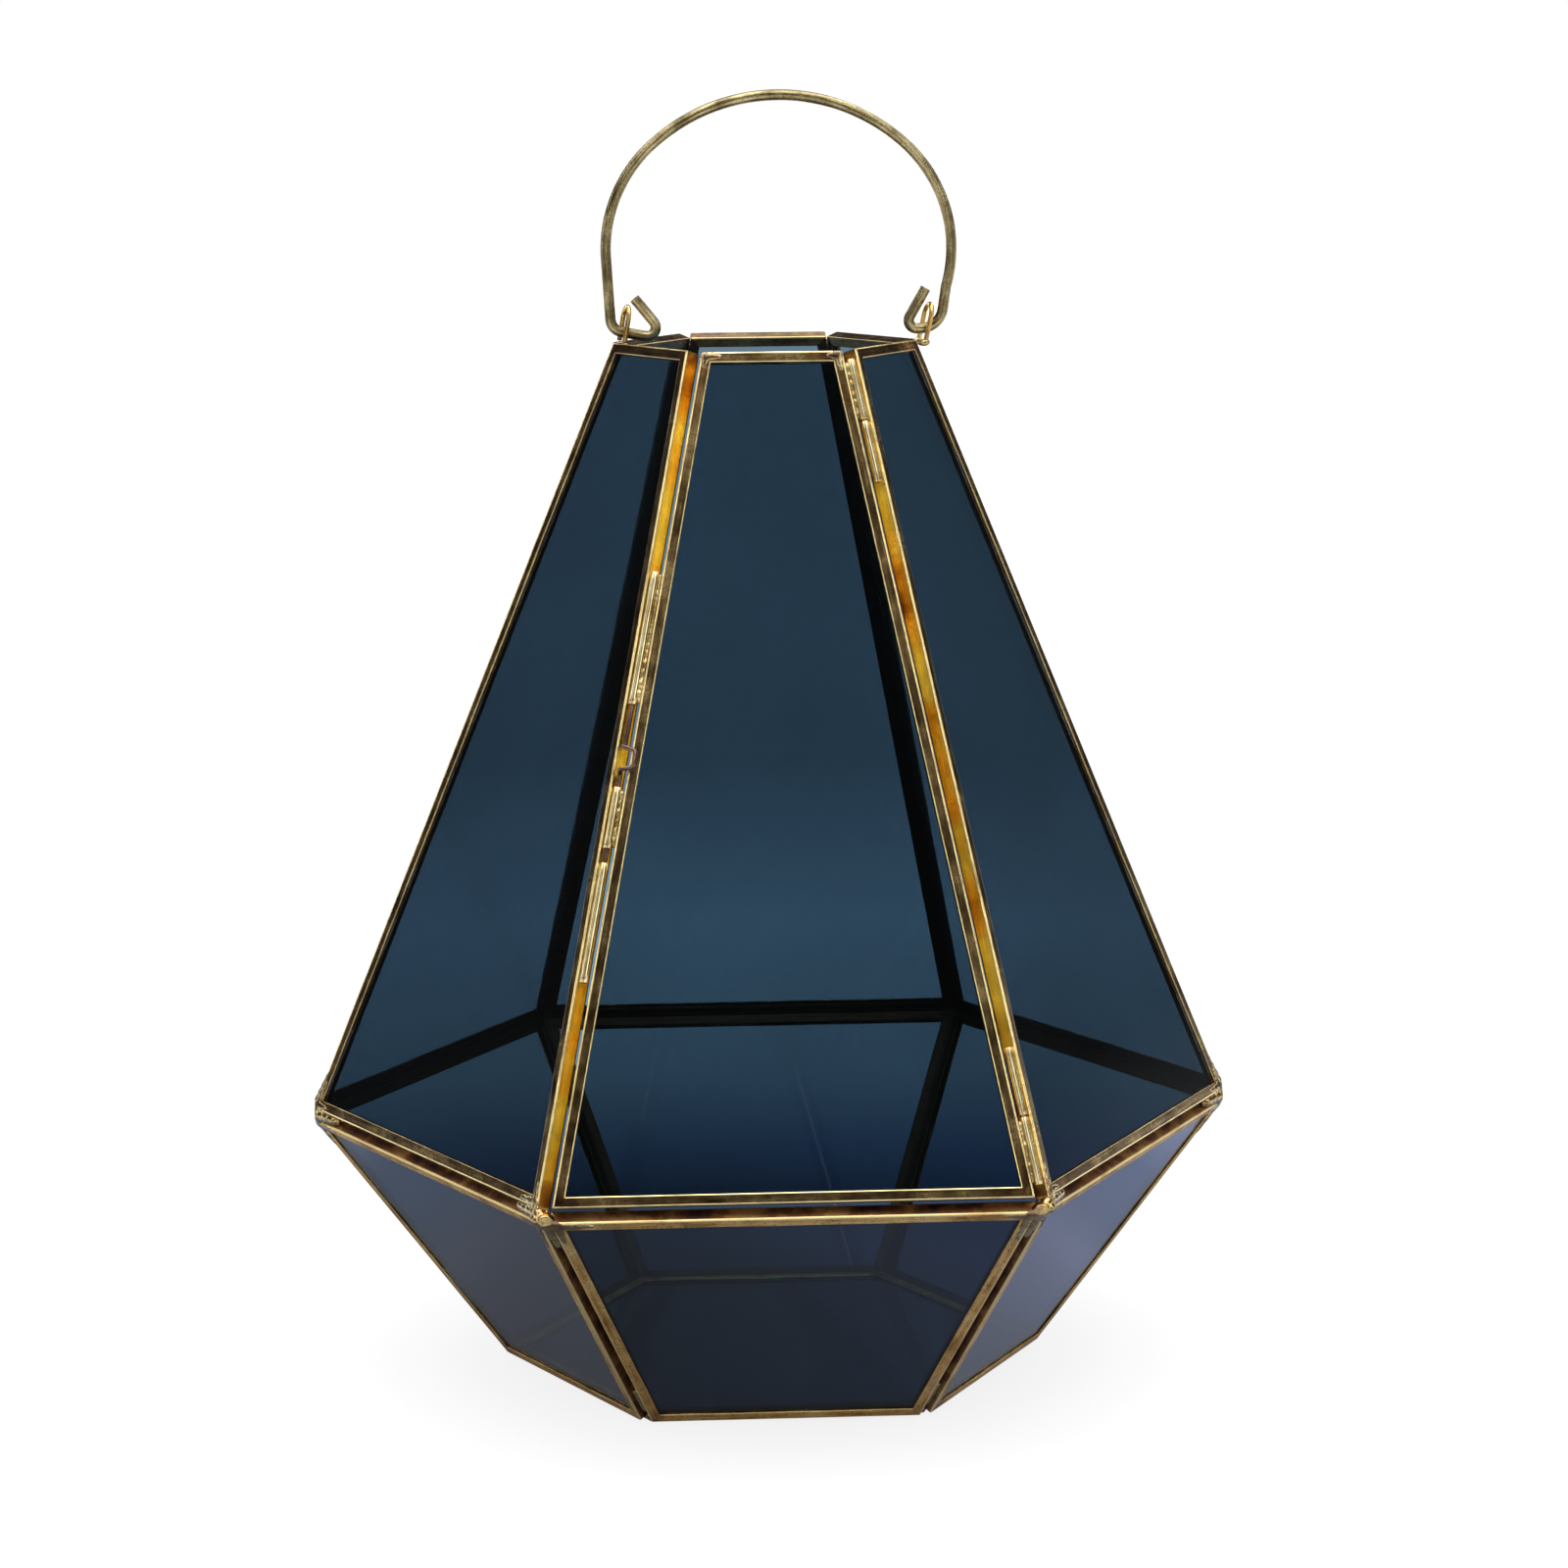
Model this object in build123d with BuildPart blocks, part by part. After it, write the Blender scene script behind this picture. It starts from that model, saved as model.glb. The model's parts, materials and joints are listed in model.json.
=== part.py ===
"""Six-sided glass terrarium lantern: framed glass panes, hinged door, sliding bolt and bail.

The glass body is a double hexagonal cup. Six tall panes lean in from a wide belt to an open
rim, and six short panes lean in from the belt to a smaller base. Each pane sits in its own
U-channel frame, and neighbouring frames meet along the edges of one hollow polyhedron, which
is the inner surface of the body. The front upper pane is a door. It turns on two pinned hinges
in the groove at its right, and a wire bolt in the groove at its left locks it.

Units are millimetres. The origin is the centre of the underside, +Z is up and -Y is the front.
"""

import os
from math import atan, atan2, cos, degrees, hypot, radians, sin, sqrt, tan

from build123d import *

os.makedirs("parts", exist_ok=True)

# ---------------------------------------------------------------- driving dimensions

# Inner surface of the body: a hexagonal polyhedron, corner to corner along each side
rim_side = 38.0
belt_side = 125.0
base_side = 72.5
lower_height = 69.0
upper_height = 213.0

# U-channel that holds each pane
channel_depth = 4.2
channel_lip = 2.9
channel_wall = 0.6
channel_bend = 0.45
saw_cut = 0.12
glass_edge_gap = 0.4

# The base panel sits this far up inside the lower panels
base_recess = 0.8

# Door
door_gap = 0.4

# Wire, tube and pin sizes, as radii
bail_radius = 1.5
eyelet_radius = 0.7
tube_radius = 1.15
pin_radius = 0.7
bolt_radius = 0.65
running_gap = 0.07

# Distance of the hinge and bolt axes from the inner edge of their groove
hinge_out = 2.9
bolt_out = 3.2

# Stretches along the door's edges, measured up the slope from the belt
lower_door_knuckle = (3.6, 21.4)
lower_frame_knuckle = (21.9, 39.8)
upper_frame_knuckle = (193.1, 209.9)
upper_door_knuckle = (210.4, 227.2)
bolt_top_guide = (133.3, 169.1)
bolt_lower_guide = (94.7, 111.0)
bolt_keeper = (59.1, 90.8)
bolt_tip = 91.1
bolt_head = 153.0

# Bolt's finger loop, as (away from the door, outwards) from the bolt's axis, and its middle
loop_shoulder = (-0.6, 2.0)
loop_end = (-4.4, 1.6)
loop_middle = 118.5

# Bail: its pivot line runs along X through both eyelets
pivot_height = 289.6
bail_centre = 4.1
bail_half_width = 47.2
bail_level = 311.4
bail_rise = 41.6
bail_side_arc = 38.0

# Eyelets by side: x of the foot, how far it lies below the pivot line, and the lean to the right
eyelets = {"left": (-39.0, 2.6, 10), "right": (43.2, 3.8, 12)}
eyelet_half_width = 3.2
eyelet_twist = 12
eyelet_rise = 3.6

# Solder: runs in the grooves, saddles under the tubes and pads round the eyelets' feet
solder_run = 9.0
solder_setback = 3.0
solder_floor = 0.7
solder_depth = 2.6
saddle_half_width = 0.75
saddle_end_gap = 0.6
pad_reach = (-40.8, -37.6), (39.8, 45.4)
pad_half_length = 4.3
pad_corner = 1.2
pad_low = 285.4
pad_high = 287.3

# ---------------------------------------------------------------- derived places

glass_thickness = channel_depth - 2 * channel_wall
base_plane = channel_depth - base_recess
belt_plane = base_plane + lower_height
rim_plane = belt_plane + upper_height


def apothem(side):
    """Distance from the axis to the middle of a hexagon's side."""
    return side * sqrt(3) / 2


upper_lean = degrees(atan((apothem(belt_side) - apothem(rim_side)) / upper_height))
lower_lean = degrees(atan((apothem(belt_side) - apothem(base_side)) / lower_height))
upper_slope = hypot(apothem(belt_side) - apothem(rim_side), upper_height)
lower_slope = hypot(apothem(belt_side) - apothem(base_side), lower_height)

# Each panel by name, with the compass angle that it faces
facing = {
    "front": -90,
    "front_right": -30,
    "back_right": 30,
    "back": 90,
    "back_left": 150,
    "front_left": 210,
}
door_side = "front"

# Each corner edge by name, with its compass angle
corner_names = {
    "right": 0,
    "back_right": 60,
    "back_left": 120,
    "left": 180,
    "front_left": 240,
    "front_right": 300,
}
door_corners = ("front_left", "front_right")


def around(angle, radius, height):
    """Point at a compass angle, a distance from the axis and a height."""
    return Vector(radius * cos(radians(angle)), radius * sin(radians(angle)), height)


def panel_plane(angle, reach, height, lean):
    """Plane of a panel's inner face: x along the side, y up the slope, z out of the body."""
    outward = around(angle, cos(radians(lean)), sin(radians(lean)))
    sideways = around(angle + 90, 1, 0)
    return Plane(around(angle, reach, height), x_dir=sideways, z_dir=outward)


def upper_panel(angle):
    """Plane of an upper panel, from the middle of its belt side."""
    return panel_plane(angle, apothem(belt_side), belt_plane, upper_lean)


def lower_panel(angle):
    """Plane of a lower panel, from the middle of its base side."""
    return panel_plane(angle, apothem(base_side), base_plane, -lower_lean)


def trapezoid(bottom, top, height):
    """Corners of a symmetrical trapezoid, anticlockwise from its bottom left."""
    return [(-bottom / 2, 0), (bottom / 2, 0), (top / 2, height), (-top / 2, height)]


upper_outline = trapezoid(belt_side, rim_side, upper_slope)
lower_outline = trapezoid(base_side, belt_side, lower_slope)
base_outline = [(base_side * cos(radians(a)), base_side * sin(radians(a))) for a in range(0, 360, 60)]


def inset_outline(outline, amount):
    """Corners of an outline after every side has moved inwards."""
    moved = []
    for before, here, after in zip(outline[-1:] + outline[:-1], outline, outline[1:] + outline[:1]):
        back = (Vector(*before) - Vector(*here)).normalized()
        ahead = (Vector(*after) - Vector(*here)).normalized()
        half_angle = radians(back.get_angle(ahead) / 2)
        corner = Vector(*here) + (back + ahead).normalized() * (amount / sin(half_angle))
        moved.append((corner.X, corner.Y))
    return moved


def finish(builder, name):
    """Label a finished piece and write it."""
    builder.part.label = name
    export_step(builder.part, f"parts/{name}.step")


# ---------------------------------------------------------------- framed panes


def channel_frame(name, panel, outline, mitred=True):
    """U-channel round an outline, open towards the pane, sawn into strips at its corners."""
    with BuildPart() as frame:
        with BuildSketch(panel):
            Polygon(*outline, align=None)
        extrude(amount=channel_depth)
        levels = frame.edges().group_by(Axis(panel.origin, panel.z_dir))
        fillet(levels[0] + levels[-1], radius=channel_bend)
        with BuildSketch(panel.offset(channel_wall)):
            Polygon(*inset_outline(outline, channel_wall), align=None)
        extrude(amount=glass_thickness, mode=Mode.SUBTRACT)
        with BuildSketch(panel):
            Polygon(*inset_outline(outline, channel_lip), align=None)
        extrude(amount=channel_depth, mode=Mode.SUBTRACT)
        if mitred:
            for outer, inner in zip(outline, inset_outline(outline, channel_lip)):
                along = atan2(inner[1] - outer[1], inner[0] - outer[0])
                with BuildSketch(panel):
                    with Locations(outer):
                        Rectangle(4 * channel_lip, saw_cut, rotation=degrees(along))
                extrude(amount=channel_depth, mode=Mode.SUBTRACT)
    finish(frame, name)


def glass_pane(name, panel, outline):
    """Flat pane between the channel's two lips, short of its web."""
    with BuildPart() as pane:
        with BuildSketch(panel.offset(channel_wall)):
            Polygon(*inset_outline(outline, channel_wall + glass_edge_gap), align=None)
        extrude(amount=glass_thickness)
    finish(pane, name)


for side, angle in facing.items():
    if side == door_side:
        door_outline = inset_outline(upper_outline, door_gap)
        channel_frame("door_frame", upper_panel(angle), door_outline)
        glass_pane("door_glass", upper_panel(angle), door_outline)
    else:
        channel_frame(f"upper_frame_{side}", upper_panel(angle), upper_outline)
        glass_pane(f"upper_glass_{side}", upper_panel(angle), upper_outline)
    channel_frame(f"lower_frame_{side}", lower_panel(angle), lower_outline)
    glass_pane(f"lower_glass_{side}", lower_panel(angle), lower_outline)

# The base's channel is one strip folded round its pane, so its underside is one flat ring
channel_frame("base_frame", Plane.XY, base_outline, mitred=False)
glass_pane("base_glass", Plane.XY, base_outline)


# ---------------------------------------------------------------- grooves between frames


def groove(start, end, first_normal, second_normal):
    """Plane across a groove at its start: x towards the first panel, y outwards, z along it."""
    outward = (first_normal + second_normal).normalized()
    along = (end - start).normalized()
    return Plane(start, x_dir=outward.cross(along), z_dir=along)


def normal_of(angle, lean):
    """Outward normal of a panel."""
    return around(angle, cos(radians(lean)), sin(radians(lean)))


def upper_groove(angle):
    """Groove between two upper frames, from the belt up."""
    start, end = around(angle, belt_side, belt_plane), around(angle, rim_side, rim_plane)
    return groove(start, end, normal_of(angle - 30, upper_lean), normal_of(angle + 30, upper_lean))


def lower_groove(angle):
    """Groove between two lower frames, from the base up."""
    start, end = around(angle, base_side, base_plane), around(angle, belt_side, belt_plane)
    return groove(start, end, normal_of(angle - 30, -lower_lean), normal_of(angle + 30, -lower_lean))


def belt_groove(angle):
    """Groove between an upper and a lower frame, along the belt."""
    start, end = around(angle - 30, belt_side, belt_plane), around(angle + 30, belt_side, belt_plane)
    return groove(start, end, normal_of(angle, upper_lean), normal_of(angle, -lower_lean))


def groove_half_angle(first_normal, second_normal):
    """Half the angle between the two webs that make a groove, in radians."""
    return radians(first_normal.get_angle(second_normal) / 2)


upper_half = groove_half_angle(normal_of(0, upper_lean), normal_of(60, upper_lean))
lower_half = groove_half_angle(normal_of(0, -lower_lean), normal_of(60, -lower_lean))
belt_half = groove_half_angle(normal_of(0, upper_lean), normal_of(0, -lower_lean))

upper_edge = (around(0, rim_side, rim_plane) - around(0, belt_side, belt_plane)).length
lower_edge = (around(0, belt_side, belt_plane) - around(0, base_side, base_plane)).length



def groove_fill(section, half_angle, length):
    """Two short runs of solder in a groove, one near each end."""
    floor, depth = solder_floor, solder_depth
    outline = [
        (-floor * tan(half_angle), floor),
        (floor * tan(half_angle), floor),
        (depth * tan(half_angle), depth),
        (-depth * tan(half_angle), depth),
    ]
    for start in (solder_setback, length - solder_setback - solder_run):
        with BuildSketch(section.offset(start)) as profile:
            Polygon(*outline, align=None)
        extrude(profile.sketch, amount=solder_run)


with BuildPart() as upper_edge_solder:
    for corner, angle in corner_names.items():
        if corner not in door_corners:
            groove_fill(upper_groove(angle), upper_half, upper_edge)
finish(upper_edge_solder, "upper_edge_solder")

with BuildPart() as lower_edge_solder:
    for angle in corner_names.values():
        groove_fill(lower_groove(angle), lower_half, lower_edge)
finish(lower_edge_solder, "lower_edge_solder")

with BuildPart() as belt_solder:
    for side, angle in facing.items():
        if side != door_side:
            groove_fill(belt_groove(angle), belt_half, belt_side)
finish(belt_solder, "belt_solder")

# Solder in the narrow wedge between the base's web and each lower panel's bottom web. Its
# section has x outwards and y down.
with BuildPart() as base_solder:
    wedge_floor, wedge_depth = 1.0, 2.4
    wedge = radians(90 - lower_lean)
    wedge_outline = [
        (0, wedge_floor),
        (0, wedge_depth),
        (wedge_depth * sin(wedge), wedge_depth * cos(wedge)),
        (wedge_floor * sin(wedge), wedge_floor * cos(wedge)),
    ]
    for angle in facing.values():
        outward, along = around(angle, 1, 0), around(angle + 90, 1, 0)
        middle = around(angle, apothem(base_side), base_plane)
        for start in (solder_setback - base_side / 2, base_side / 2 - solder_setback - solder_run):
            with BuildSketch(Plane(middle + along * start, x_dir=outward, z_dir=along)):
                Polygon(*wedge_outline, align=None)
            extrude(amount=solder_run)
finish(base_solder, "base_solder")


# ---------------------------------------------------------------- tubes in the door's grooves

hinge_groove = upper_groove(corner_names["front_right"])
bolt_groove = upper_groove(corner_names["front_left"])


def on_axis(section, out, distance):
    """The groove's section plane, moved out to a tube's axis and up the slope."""
    return Plane(
        section.origin + section.y_dir * out + section.z_dir * distance,
        x_dir=section.x_dir,
        z_dir=section.z_dir,
    )


def tube(name, section, out, stretch, bore):
    """Round tube along a groove."""
    with BuildPart() as piece:
        with BuildSketch(on_axis(section, out, stretch[0])):
            Circle(tube_radius)
            Circle(bore, mode=Mode.SUBTRACT)
        extrude(amount=stretch[1] - stretch[0])
    finish(piece, name)


def saddle(section, out, stretch, first, gap):
    """Solder between a tube and the web of the first or second panel, which may stand a gap off."""
    reach = out * sin(upper_half) + gap
    foot_angle = -degrees(upper_half) if first else 180 + degrees(upper_half)
    with BuildSketch(on_axis(section, out, stretch[0] + saddle_end_gap)) as profile:
        with Locations(Rotation(0, 0, foot_angle)):
            with Locations((reach / 2, 0)):
                Rectangle(reach, 2 * saddle_half_width)
        Circle(tube_radius, mode=Mode.SUBTRACT)
    extrude(profile.sketch, amount=stretch[1] - stretch[0] - 2 * saddle_end_gap)


# The first panel of the hinge groove is the door, and of the bolt groove the frame at its left
tube("lower_door_knuckle", hinge_groove, hinge_out, lower_door_knuckle, pin_radius + running_gap)
tube("lower_frame_knuckle", hinge_groove, hinge_out, lower_frame_knuckle, pin_radius)
tube("upper_frame_knuckle", hinge_groove, hinge_out, upper_frame_knuckle, pin_radius)
tube("upper_door_knuckle", hinge_groove, hinge_out, upper_door_knuckle, pin_radius + running_gap)


def hinge_pin(name, low, high):
    """Plain wire pin through a pair of knuckles."""
    with BuildPart() as pin:
        with BuildSketch(on_axis(hinge_groove, hinge_out, low)):
            Circle(pin_radius)
        extrude(amount=high - low)
    finish(pin, name)


hinge_pin("lower_hinge_pin", lower_door_knuckle[0], lower_frame_knuckle[1])
hinge_pin("upper_hinge_pin", upper_frame_knuckle[0], upper_door_knuckle[1])

with BuildPart() as hinge_door_solder:
    for stretch in (lower_door_knuckle, upper_door_knuckle):
        saddle(hinge_groove, hinge_out, stretch, first=True, gap=door_gap)
finish(hinge_door_solder, "hinge_door_solder")

with BuildPart() as hinge_frame_solder:
    for stretch in (lower_frame_knuckle, upper_frame_knuckle):
        saddle(hinge_groove, hinge_out, stretch, first=False, gap=0)
finish(hinge_frame_solder, "hinge_frame_solder")

tube("bolt_top_guide", bolt_groove, bolt_out, bolt_top_guide, bolt_radius + running_gap)
tube("bolt_lower_guide", bolt_groove, bolt_out, bolt_lower_guide, bolt_radius + running_gap)
tube("bolt_keeper", bolt_groove, bolt_out, bolt_keeper, bolt_radius + running_gap)

with BuildPart() as guide_solder:
    for stretch in (bolt_top_guide, bolt_lower_guide):
        saddle(bolt_groove, bolt_out, stretch, first=False, gap=door_gap)
finish(guide_solder, "guide_solder")

with BuildPart() as keeper_solder:
    saddle(bolt_groove, bolt_out, bolt_keeper, first=True, gap=0)
finish(keeper_solder, "keeper_solder")

# ---------------------------------------------------------------- bolt

# The wire leaves its axis between the guides and makes a finger loop over the door's lip.
# Points are (away from the door, outwards, up the slope) from the bolt's axis.
with BuildPart() as bolt:
    loop_half = [(0, 0, 3.9), (*loop_shoulder, 3.0), (*loop_end, 2.3)]
    loop_corners = [(x, y, loop_middle - z) for x, y, z in loop_half]
    loop_corners += [(x, y, loop_middle + z) for x, y, z in reversed(loop_half)]
    with BuildLine(on_axis(bolt_groove, bolt_out, 0)) as wire:
        FilletPolyline(
            (0, 0, bolt_tip), *loop_corners, (0, 0, bolt_head), radius=(0.8, 0.9, 1.4, 1.4, 0.9, 0.8)
        )
    with BuildSketch(Plane(wire.line @ 0, z_dir=wire.line % 0)):
        Circle(bolt_radius)
    sweep(path=wire.line)
finish(bolt, "bolt")

# ---------------------------------------------------------------- eyelets


def eyelet_plane(foot_x, drop, lean):
    """Plane of an eyelet: x from its back leg to its front leg, y up its legs."""
    across = Vector(sin(radians(eyelet_twist)), -cos(radians(eyelet_twist)), 0)
    up = Vector(sin(radians(lean)), 0, cos(radians(lean)))
    return Plane((foot_x, 0, pivot_height - drop), x_dir=across, z_dir=across.cross(up))


eyelet_parts = []
for side, (foot_x, drop, lean) in eyelets.items():
    w, h = eyelet_half_width, eyelet_rise + drop
    with BuildPart() as eyelet:
        with BuildLine(eyelet_plane(foot_x, drop, lean)) as ring:
            Line((-w, 0), (-w, h))
            CenterArc((0, h), w, 180, -180)
            Line((w, h), (w, 0))
        with BuildSketch(Plane(ring.line @ 0, z_dir=ring.line % 0)):
            Circle(eyelet_radius)
        sweep(path=ring.line)
    finish(eyelet, f"{side}_eyelet")
    eyelet_parts.append(eyelet.part)

# A pad of solder joins each eyelet's two feet to the rim, outside the frames
with BuildPart() as eyelet_solder:
    for start, end in pad_reach:
        with BuildSketch(Plane.XY.offset(pad_low)) as pad:
            with Locations(((start + end) / 2, 0)):
                RectangleRounded(end - start, 2 * pad_half_length, pad_corner)
        extrude(pad.sketch, amount=pad_high - pad_low)
    for side, angle in facing.items():
        if side not in ("front", "back"):
            with BuildSketch(upper_panel(angle)) as envelope:
                Polygon(*upper_outline, align=None)
            extrude(envelope.sketch, amount=channel_depth, mode=Mode.SUBTRACT)
    for part in eyelet_parts:
        add(part, mode=Mode.SUBTRACT)
finish(eyelet_solder, "eyelet_solder")

# ---------------------------------------------------------------- bail

# Corners of each hook as (x, height above the pivot line), with the radius of each bend
left_hook = [(-35.5, 9.0), (-26.2, -2.5), (-41.9, 0.4)]
left_hook_radii = (2.4, 3.6)
right_hook = [(48.2, 0.2), (37.9, -0.2), (44.3, 11.0)]
right_hook_radii = (6.0, 2.2)
left_sweep = 4.0
right_sweep = 16.0


def hook_corners(hook):
    """A hook's corners in the plane of the bail."""
    return [(x, pivot_height + rise) for x, rise in hook]


# The arch is three tangent arcs: a side, the crown and a side
crown_offset = bail_half_width - bail_side_arc
crown_arc = (crown_offset**2 + bail_rise**2 - bail_side_arc**2) / (2 * (bail_rise - bail_side_arc))
crown_drop = crown_arc - bail_rise
shoulder = degrees(atan2(crown_drop, crown_offset))
left_centre = (bail_centre - crown_offset, bail_level)
right_centre = (bail_centre + crown_offset, bail_level)
crown_centre = (bail_centre, bail_level - crown_drop)

with BuildPart() as bail:
    with BuildLine(Plane.XZ) as arch:
        left_side = CenterArc(left_centre, bail_side_arc, 180 + left_sweep, -left_sweep - shoulder)
        crown = CenterArc(crown_centre, crown_arc, 180 - shoulder, 2 * shoulder - 180)
        right_side = CenterArc(right_centre, bail_side_arc, shoulder, -shoulder - right_sweep)
        foot = left_side @ 0
        FilletPolyline(*hook_corners(left_hook), (foot.X, foot.Z), radius=left_hook_radii)
        foot = right_side @ 1
        FilletPolyline((foot.X, foot.Z), *hook_corners(right_hook), radius=right_hook_radii)
    path = arch.wires()[0]
    with BuildSketch(Plane(path @ 0, z_dir=path % 0)):
        Circle(bail_radius)
    sweep(path=path)
finish(bail, "bail")
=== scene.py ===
import json
import math
from mathutils import Matrix, Vector, noise

import bmesh
import bpy


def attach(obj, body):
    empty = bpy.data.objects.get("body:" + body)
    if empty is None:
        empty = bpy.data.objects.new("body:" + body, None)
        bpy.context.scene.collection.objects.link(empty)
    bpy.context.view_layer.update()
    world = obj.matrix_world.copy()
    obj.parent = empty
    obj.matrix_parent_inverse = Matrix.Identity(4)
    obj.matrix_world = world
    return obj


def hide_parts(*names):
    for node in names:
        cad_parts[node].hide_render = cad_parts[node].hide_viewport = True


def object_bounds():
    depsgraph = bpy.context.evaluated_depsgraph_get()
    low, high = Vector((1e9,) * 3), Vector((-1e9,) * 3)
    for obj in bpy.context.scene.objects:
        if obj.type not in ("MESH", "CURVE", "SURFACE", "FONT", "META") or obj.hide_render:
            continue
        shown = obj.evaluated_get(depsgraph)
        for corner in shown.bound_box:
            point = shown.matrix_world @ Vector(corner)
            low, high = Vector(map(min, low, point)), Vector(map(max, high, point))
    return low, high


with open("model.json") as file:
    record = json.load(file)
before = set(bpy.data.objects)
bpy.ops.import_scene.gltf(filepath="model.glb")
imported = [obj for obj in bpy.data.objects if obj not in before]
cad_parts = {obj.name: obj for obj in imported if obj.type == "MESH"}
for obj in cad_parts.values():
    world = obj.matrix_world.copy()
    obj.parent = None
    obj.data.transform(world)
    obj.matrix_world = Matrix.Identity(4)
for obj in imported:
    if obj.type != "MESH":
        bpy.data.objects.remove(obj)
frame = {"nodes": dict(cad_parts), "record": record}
cad_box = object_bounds()
nodes = frame["nodes"]
joints = {joint["name"]: joint for joint in frame["record"]["behaviour"]["joints"]}

# Lengths are millimetres, and become metres where a mesh is made.
MM = 0.001

# Inner surface of the body: a hexagonal polyhedron, corner to corner along each side
RIM_SIDE, BELT_SIDE, BASE_SIDE = 38.0, 125.0, 72.5
RIM_PLANE, BELT_PLANE, BASE_PLANE = 285.4, 72.4, 3.4

# Channel that holds each pane
CHANNEL_DEPTH = 4.2
CHANNEL_LIP = 2.9
CHANNEL_WALL = 0.6
CHANNEL_BEND = 0.45
LIP_ROUND = CHANNEL_WALL / 2
GLASS_EDGE_GAP = 0.4
SAW_CUT = 0.2

# Wires and tubes, as radii
BAIL_RADIUS = 1.5
EYELET_RADIUS = 0.7
TUBE_RADIUS = 1.15
PIN_RADIUS = 0.7
BOLT_RADIUS = 0.65
RUNNING_GAP = 0.07

SIDES = ("front", "front_right", "back_right", "back", "back_left", "front_left")
CORNER_NAMES = ("right", "back_right", "back_left", "left", "front_left", "front_right")
CORNERS = {name: 60 * number for number, name in enumerate(CORNER_NAMES)}


# ------------------------------------------------------------------ meshes

# Edges that turn by more than this stay sharp
SHARP_ANGLE = math.radians(50)


class Sheet:
    """Points in millimetres, faces, and the marks that the materials read."""

    def __init__(self):
        self.points = []
        self.faces = []
        self.marks = []
        self.runs = []

    def ring(self, points, marks, runs):
        """Adds a row of points and returns the number of its first."""
        first = len(self.points)
        self.points += points
        self.marks += marks
        self.runs += runs
        return first

    def bridge(self, first, second, count):
        """Joins two closed rows of points with quads."""
        for i in range(count):
            j = (i + 1) % count
            self.faces.append((first + i, first + j, second + j, second + i))

    def cap(self, first, count, flip=False):
        """Closes a row of points with one face."""
        loop = list(range(first, first + count))
        self.faces.append(tuple(reversed(loop)) if flip else tuple(loop))


def held_inside(point):
    """Turns a point into metres, held inside the CAD model's box."""
    low, high = cad_box
    return [min(max(c * MM, a), b) for c, a, b in zip(point, low, high)]


def place(made, body, slot, material, *replaced):
    """Gives a piece its material and body, and hides the CAD nodes that it stands for; slot is not used."""
    bpy.context.scene.collection.objects.link(made)
    made.data.materials.clear()
    made.data.materials.append(material)
    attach(made, body)
    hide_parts(*replaced)


def piece(name, sheet, body, slot, material, *replaced):
    """Makes a piece from a sheet."""
    mesh = bpy.data.meshes.new(name)
    mesh.from_pydata([held_inside(p) for p in sheet.points], [], sheet.faces)
    marks = mesh.attributes.new("marks", "FLOAT_COLOR", "POINT")
    marks.data.foreach_set("color", [value for mark in sheet.marks for value in (*mark, 1.0)])
    runs = mesh.attributes.new("runs", "FLOAT_VECTOR", "POINT")
    runs.data.foreach_set("vector", [value for run in sheet.runs for value in run])
    mesh.polygons.foreach_set("use_smooth", [True] * len(mesh.polygons))
    mesh.update()
    mesh.set_sharp_from_angle(angle=SHARP_ANGLE)
    place(bpy.data.objects.new(name, mesh), body, slot, material, *replaced)


def wave(point, length, seed=0.0):
    """Smooth noise from -1 to 1 at a point, with waves about one length long."""
    return noise.noise(Vector(point) / length + Vector((seed, 2.3 * seed, -1.7 * seed)))


def around(angle, radius, height):
    """Point at a compass angle, radius and height."""
    turn = math.radians(angle)
    return Vector((radius * math.cos(turn), radius * math.sin(turn), height))


def arc(centre, radius, start, end, steps):
    """Points of an arc between two angles in degrees."""
    angles = [math.radians(start + (end - start) * i / steps) for i in range(steps + 1)]
    return [Vector((centre[0] + radius * math.cos(a), centre[1] + radius * math.sin(a))) for a in angles]


# ------------------------------------------------------------------ materials


def new_tree(name):
    """A new material, its empty tree and its output."""
    material = bpy.data.materials.new(name)
    material.use_nodes = True
    material.node_tree.nodes.clear()
    output = material.node_tree.nodes.new("ShaderNodeOutputMaterial")
    return material, material.node_tree, output


def add_node(tree, kind, settings=(), **inputs):
    """A new node, with some of its settings and unlinked inputs."""
    made = tree.nodes.new("ShaderNode" + kind)
    for key, value in dict(settings).items():
        setattr(made, key, value)
    for key, value in inputs.items():
        made.inputs[key.replace("_", " ")].default_value = value
    return made


def feed(tree, socket, value):
    """Links a socket to an input, or sets the input."""
    if isinstance(value, bpy.types.NodeSocket):
        tree.links.new(value, socket)
    elif isinstance(value, tuple):
        socket.default_value = (*value, 1.0)
    else:
        socket.default_value = value


def grey(value):
    """A grey."""
    return (value, value, value)


def ramp(tree, source, *stops):
    """Colour ramp over a value, from (place, colour) pairs."""
    made = tree.nodes.new("ShaderNodeValToRGB")
    elements = made.color_ramp.elements
    while len(elements) < len(stops):
        elements.new(0.5)
    for element, (where, colour) in zip(elements, stops):
        element.position = where
        element.color = (*colour, 1.0)
    tree.links.new(source, made.inputs["Fac"])
    return made.outputs["Color"]


def mix(tree, factor, first, second):
    """Mix of two colours."""
    made = tree.nodes.new("ShaderNodeMix")
    made.data_type = "RGBA"
    for socket, value in zip((made.inputs[0], made.inputs[6], made.inputs[7]), (factor, first, second)):
        feed(tree, socket, value)
    return made.outputs[2]


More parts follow.
